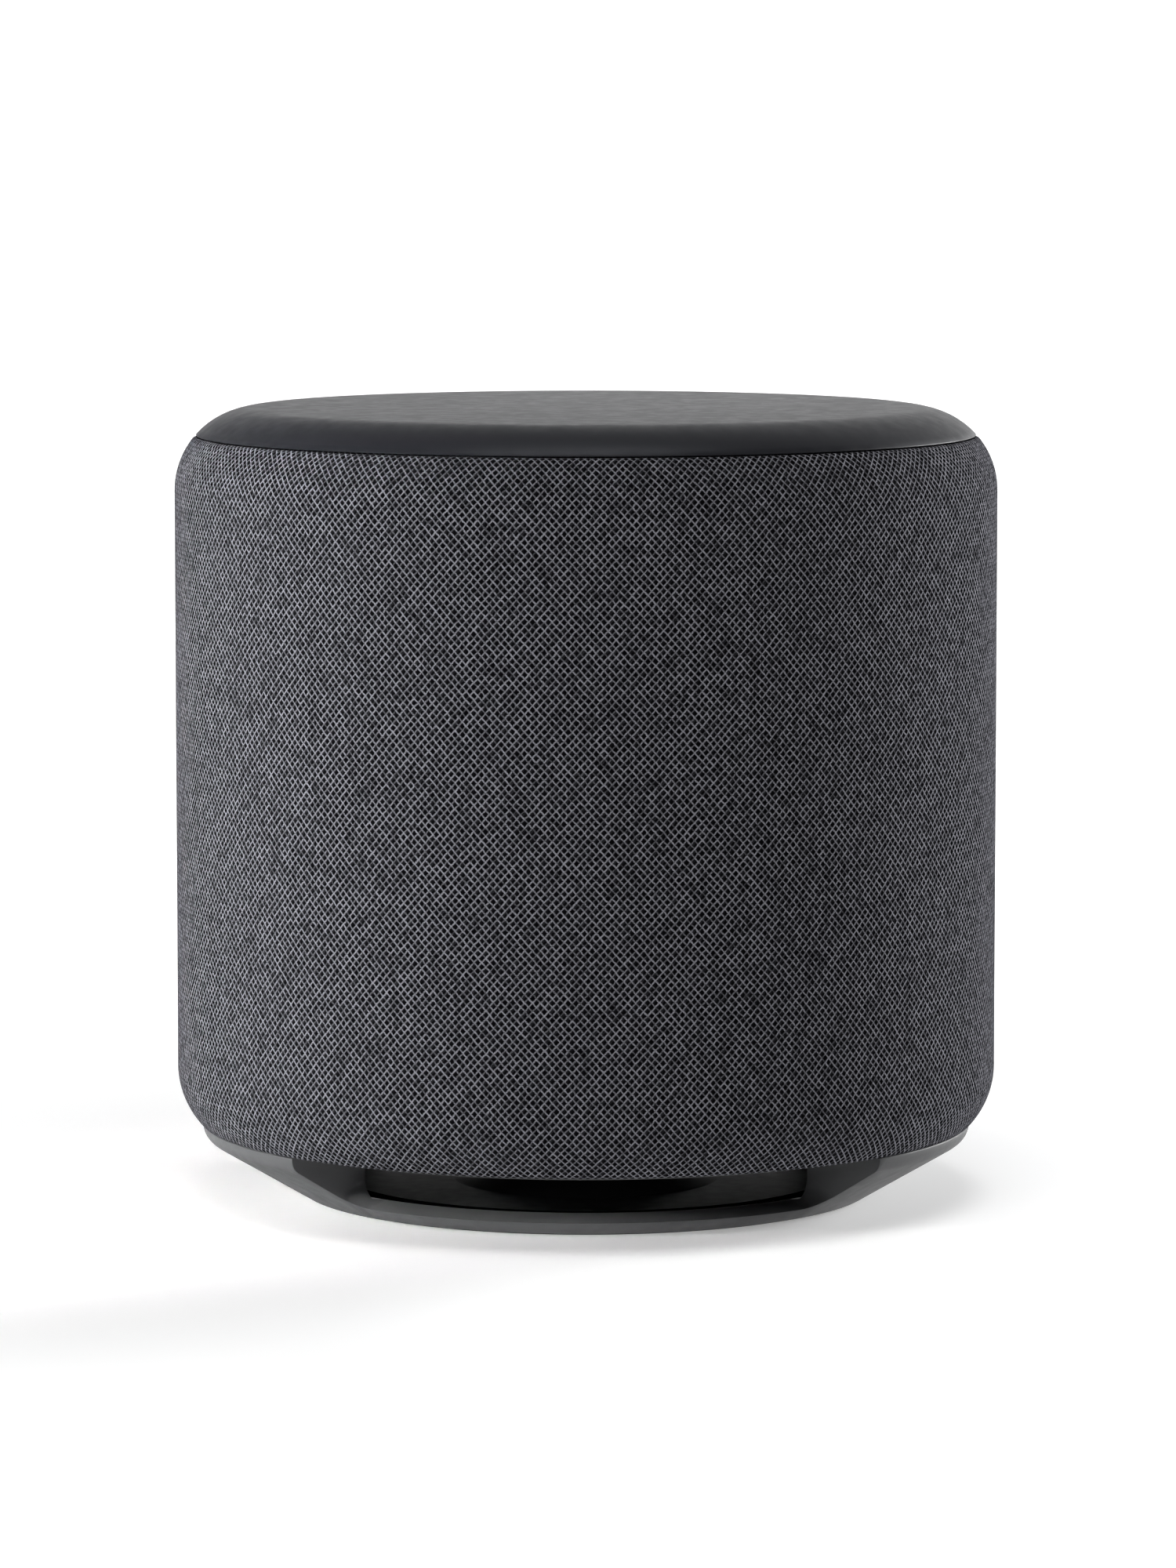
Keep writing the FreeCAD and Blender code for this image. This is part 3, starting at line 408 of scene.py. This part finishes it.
def add_mesh(name, mesh):
    """A new object in the scene, showing mesh."""
    obj = bpy.data.objects.new(name, mesh)
    bpy.context.scene.collection.objects.link(obj)
    return obj


def arc_points(centre, radius, deg0, deg1, steps):
    """(r, z) points of an arc, from deg0 to deg1 inclusive; 0 is outwards and 90 is up."""
    points = []
    for k in range(steps + 1):
        a = math.radians(deg0 + (deg1 - deg0) * k / steps)
        points.append((centre[0] + radius * math.cos(a), centre[1] + radius * math.sin(a)))
    return points


def knit_ring(name, profile, segments):
    """Turns a closed loop of (r, z) points round +Z and lays the knit on it, with its seam at +Y."""
    bm = bmesh.new()
    rows = []
    for r, z in profile:
        angles = [math.pi / 2 + 2 * math.pi * k / segments for k in range(segments)]
        rows.append([bm.verts.new((r * math.cos(a), r * math.sin(a), z)) for a in angles])
    layer = bm.loops.layers.uv.new("weave")
    lengths = [0.0]
    for (r0, z0), (r1, z1) in zip(profile, profile[1:] + profile[:1]):
        lengths.append(lengths[-1] + math.hypot(r1 - r0, z1 - z0))
    for i in range(len(profile)):
        low, high = rows[i], rows[(i + 1) % len(profile)]
        for k in range(segments):
            n = (k + 1) % segments
            corners = [(low[k], k, i), (low[n], k + 1, i), (high[n], k + 1, i + 1), (high[k], k, i + 1)]
            face = bm.faces.new([vert for vert, _, _ in corners])
            for loop, (_, col, row) in zip(face.loops, corners):
                loop[layer].uv = (col * KNIT_ROUND / segments, lengths[row] / KNIT_TALL)
    return closed_piece(name, bm)


def ring_slice(name, profile, middle_deg, span_deg, steps):
    """A slice of the ring that a closed loop of (r, z) points makes round +Z."""
    bm = bmesh.new()
    rows = []
    for k in range(steps + 1):
        a = math.radians(middle_deg + span_deg * (k / steps - 0.5))
        rows.append([bm.verts.new((r * math.cos(a), r * math.sin(a), z)) for r, z in profile])
    for low, high in zip(rows, rows[1:]):
        for i in range(len(profile)):
            n = (i + 1) % len(profile)
            bm.faces.new((low[i], low[n], high[n], high[i]))
    bm.faces.new(rows[0])
    bm.faces.new(rows[-1][::-1])
    return closed_piece(name, bm)


def closed_piece(name, bm):
    """An object from a closed bmesh, with its faces turned outwards."""
    bmesh.ops.recalc_face_normals(bm, faces=bm.faces)
    mesh = bpy.data.meshes.new(name)
    bm.to_mesh(mesh)
    bm.free()
    return add_mesh(name, mesh)


def stadium_prism(name, width, height, z, y0, y1):
    """A prism along Y with half-round ends, centred on x = 0 and z."""
    steps = 24
    r = height / 2
    reach = width / 2 - r
    ends = arc_points((reach, z), r, -90, 90, steps) + arc_points((-reach, z), r, 90, 270, steps)
    bm = bmesh.new()
    front = [bm.verts.new((x, y0, h)) for x, h in ends]
    back = [bm.verts.new((x, y1, h)) for x, h in ends]
    count = len(ends)
    bm.faces.new(front)
    bm.faces.new(back[::-1])
    for k in range(count):
        bm.faces.new((front[k], back[k], back[(k + 1) % count], front[(k + 1) % count]))
    return closed_piece(name, bm)


def soften(node, width, materials):
    """Shows a CAD node as a copy with its sharp edges rounded by width."""
    mesh = frame["nodes"][node].data.copy()
    bm = bmesh.new()
    bm.from_mesh(mesh)
    bmesh.ops.remove_doubles(bm, verts=bm.verts, dist=0.001 * MM)
    bmesh.ops.dissolve_limit(bm, angle_limit=math.radians(0.5), verts=bm.verts, edges=bm.edges)
    bm.to_mesh(mesh)
    bm.free()
    mesh.shade_smooth()
    obj = add_mesh(node + "_soft", mesh)
    mod = obj.modifiers.new("round", "BEVEL")
    mod.width = width
    mod.segments = 2
    mod.limit_method = "ANGLE"
    mod.angle_limit = math.radians(30)
    mod.harden_normals = True
    bpy.context.view_layer.update()
    apply_modifiers(obj)
    slot = SLOTS[node]
    dress(obj, materials[slot])
    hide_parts(node)
    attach(obj, node_body(node))


def node_body(node):
    """The CAD body that a node belongs to."""
    bodies = frame["record"]["behaviour"]["bodies"]
    return next(body for body, nodes in bodies.items() if node in nodes)


def apply_modifiers(obj):
    """Replaces the mesh by its modified form, so that nothing live is left on it."""
    graph = bpy.context.evaluated_depsgraph_get()
    evaluated = obj.evaluated_get(graph)
    mesh = bpy.data.meshes.new_from_object(evaluated, preserve_all_data_layers=True, depsgraph=graph)
    obj.modifiers.clear()
    obj.data = mesh


def cut(obj, cutter):
    """Subtracts cutter from obj and removes it."""
    mod = obj.modifiers.new("cut", "BOOLEAN")
    mod.operation = "DIFFERENCE"
    mod.solver = "EXACT"
    mod.object = cutter
    bpy.context.view_layer.update()
    apply_modifiers(obj)
    bpy.data.objects.remove(cutter)


# ---------------------------------------------------------------- pieces


def make_sleeve(materials):
    """The knitted sleeve, with rolled edges, an opening for the rear recess and a seam."""
    arc_r = RADIUS - EDGE
    inner = EDGE - SLEEVE_THICK
    top_c = (arc_r, TOP - EDGE)
    low_c = (arc_r, SLEEVE_LOW[2] + EDGE * math.sin(math.radians(SLEEVE_LOW_DEG)))
    top_deg = math.degrees(math.asin((SLEEVE_HIGH[2] - top_c[1]) / EDGE))
    top_end = (arc_r + EDGE * math.cos(math.radians(top_deg)), SLEEVE_HIGH[2])
    low_end = (arc_r + EDGE * math.cos(math.radians(SLEEVE_LOW_DEG)), SLEEVE_LOW[2])
    height = top_c[1] - low_c[1]
    side_steps = 24
    profile = [(low_end[0] - LOW_TUCK, low_end[1])]
    profile += arc_points((low_end[0] - 0.9 * ROLL, low_end[1] + ROLL), ROLL, -90, -50, 4)
    profile += arc_points(low_c, EDGE, 2 - SLEEVE_LOW_DEG, 0, 14)
    profile += [(RADIUS, low_c[1] + height * k / side_steps) for k in range(1, side_steps)]
    profile += arc_points(top_c, EDGE, 0, top_deg - 2, 14)
    profile += arc_points((top_end[0] - 0.9 * ROLL, top_end[1] - ROLL), ROLL, 50, 90, 4)
    profile += [(top_end[0] - TOP_TUCK, top_end[1]), (top_end[0] - TOP_TUCK, top_end[1] - SLEEVE_THICK)]
    profile += arc_points(top_c, inner, top_deg - 3, 0, 8)
    profile += arc_points(low_c, inner, 0, 3 - SLEEVE_LOW_DEG, 8)
    profile += [(low_end[0] - LOW_TUCK, low_end[1] + SLEEVE_THICK)]
    sleeve = knit_ring("sleeve", profile, KNIT_ROUND)
    opening_width = BEZEL_HIGH[0] - BEZEL_LOW[0] - BEZEL_RIM
    opening_height = BEZEL_HIGH[2] - BEZEL_LOW[2] - BEZEL_RIM
    middle = (BEZEL_HIGH[2] + BEZEL_LOW[2]) / 2
    cut(sleeve, stadium_prism("opening", opening_width, opening_height, middle, 0.08, 0.12))
    dress(sleeve, materials["fabric_melange"])
    sleeve.data.shade_smooth()
    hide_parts("fabric_sleeve")
    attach(sleeve, HOUSING)
    flat = (2 * math.pi * RADIUS, height + math.radians(SLEEVE_LOW_DEG + top_deg) * EDGE + 2 * HEM)


def flexing_slices(node, profile, materials):
    """The node's ring in separate slices, reaching from the cone out to the housing."""
    for k in range(RING_SLICES):
        deg = 360 * k / RING_SLICES
        piece = ring_slice(f"{node}_{k}", profile, deg, 360 / RING_SLICES, SLICE_STEPS)
        piece.data.shade_smooth()
        dress(piece, materials[SLOTS[node]])
        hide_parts(node)
        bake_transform(piece)


def make_surround(materials):
    """The rubber half-roll round the cone."""
    low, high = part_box("woofer_surround")
    bottom, top = high[2] - 0.8 * MM, high[2]
    inner, outer = 50.8 * MM, high[0]
    mid, hollow = 57.8 * MM, 4.6 * MM
    profile = [(inner, top)] + arc_points((mid, top), hollow, -180, 0, 14)
    profile += [(outer, top), (outer, bottom)]
    profile += arc_points((mid, bottom), bottom - low[2], 0, -180, 14) + [(inner, bottom)]
    flexing_slices("woofer_surround", profile, materials)


def make_spider(materials):
    """The corrugated disc round the coil."""
    low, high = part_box("spider")
    thick, wave = 0.6 * MM, 0.9 * MM
    level = low[2] + wave
    turns = ((24.8, 1), (27.6, -1), (30.4, 1), (33.2, -1), (36.0, 1))
    waves = [(r * MM, level + side * wave) for r, side in turns]
    lower = [(19.4 * MM, level), (22.0 * MM, level)] + waves + [(38.6 * MM, level), (high[0], level)]
    profile = lower + [(r, z + thick) for r, z in reversed(lower)]
    flexing_slices("spider", profile, materials)


def make_leads(materials):
    """The two leads from the cone's neck to the terminals, as a copy of their CAD node."""
    leads = add_mesh("tinsel_leads_flexible", frame["nodes"]["tinsel_leads"].data.copy())
    dress(leads, materials[SLOTS["tinsel_leads"]])
    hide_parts("tinsel_leads")
    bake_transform(leads)


def finish_nodes(materials):
    """Every CAD node gets its slot's material."""
    for name, obj in frame["nodes"].items():
        dress(obj, materials[SLOTS[name]])


# ---------------------------------------------------------------- studio


def make_stage():
    """A pale paper floor that glows more with distance from the object."""
    bpy.ops.mesh.primitive_plane_add(size=FLOOR_SIZE, location=(0, -FLOOR_FORWARD, 0))
    floor = bpy.context.object
    floor.name = "floor"
    mat, tree, shader = new_material("floor_paper", (0.86, 0.86, 0.86), 0.9)
    cloudy = noise(tree, 3.0, 2.0)
    mix_color(tree, cloudy, (0.85, 0.85, 0.85), (0.87, 0.87, 0.87), shader.inputs["Base Color"])
    shader.inputs["Specular IOR Level"].default_value = 0.0
    shader.inputs["Emission Color"].default_value = (1.0, 1.0, 1.0, 1.0)
    split = tree.nodes.new("ShaderNodeSeparateXYZ")
    tree.links.new(object_coords(tree), split.inputs[0])
    x, y = Num(tree, split.outputs["X"]), Num(tree, split.outputs["Y"]) - FLOOR_FORWARD
    distance = (x * x + y * y).op("SQRT")
    connect(tree, distance.ramp(0.2, 0.55, FLOOR_GLOW, FAR_GLOW), shader.inputs["Emission Strength"])
    dress(floor, mat)


def area_light(name, place, target, size, size_y, power, spread=180):
    """A rectangular light at place, aimed at target; spread is its beam in degrees."""
    data = bpy.data.lights.new(name, "AREA")
    data.shape = "RECTANGLE"
    data.size = size
    data.size_y = size_y
    data.energy = power
    data.spread = math.radians(spread)
    obj = bpy.data.objects.new(name, data)
    bpy.context.scene.collection.objects.link(obj)
    obj.location = place
    obj.rotation_euler = (Vector(target) - Vector(place)).to_track_quat("-Z", "Y").to_euler()


def make_light():
    """A backdrop, white behind the object and dark in front, two softboxes and two narrow beams."""
    world = bpy.data.worlds.new("studio")
    world.use_nodes = True
    tree = world.node_tree
    back = tree.nodes["Background"]
    back.inputs["Color"].default_value = (1.0, 1.0, 1.0, 1.0)
    split = tree.nodes.new("ShaderNodeSeparateXYZ")
    tree.links.new(tree.nodes.new("ShaderNodeTexCoord").outputs["Generated"], split.inputs[0])
    across, depth, height = (Num(tree, split.outputs[axis]) for axis in "XYZ")
    wall = depth.ramp(0.1, 0.7) * height.ramp(0.05, 0.4, 1.0, 0.5) * across.ramp(-0.45, 0.1, 0.4, 1.0)
    connect(tree, wall * WALL_WHITE, back.inputs["Strength"])
    bpy.context.scene.world = world
    middle = (0, 0, 0.1)
    area_light("top_softbox", (0, -0.5, 1.9), middle, 1.2, 1.2, TOP_POWER)
    area_light("left_grid", (-1.03, -0.71, 0.45), (-0.11, -0.045, 0.125), 0.06, 0.5, GRID_POWER, 13)
    area_light("low_grid", (0, -1.5, 0.16), (0, -0.08, -0.03), 0.05, 0.01, LOW_POWER, 4)
    area_light("right_strip", (1.2, 0.75, 0.28), middle, 0.5, 0.5, RIM_POWER)


def make_camera():
    """Eye level above the top, well back from the object, with a long lens."""
    data = bpy.data.cameras.new("camera")
    data.sensor_width = 36.0
    data.lens = LENS
    data.clip_end = 50.0
    obj = bpy.data.objects.new("camera", data)
    bpy.context.scene.collection.objects.link(obj)
    obj.location = EYE
    obj.rotation_euler = (math.radians(90 - EYE_DOWN_DEG), 0, 0)
    bpy.context.scene.camera = obj


def main():
    materials = make_materials()
    finish_nodes(materials)
    make_sleeve(materials)
    make_surround(materials)
    make_spider(materials)
    make_leads(materials)
    for node, width in SOFTENED.items():
        soften(node, width, materials)
    make_stage()
    make_light()
    make_camera()
    bpy.context.scene.view_settings.view_transform = "Standard"


main()
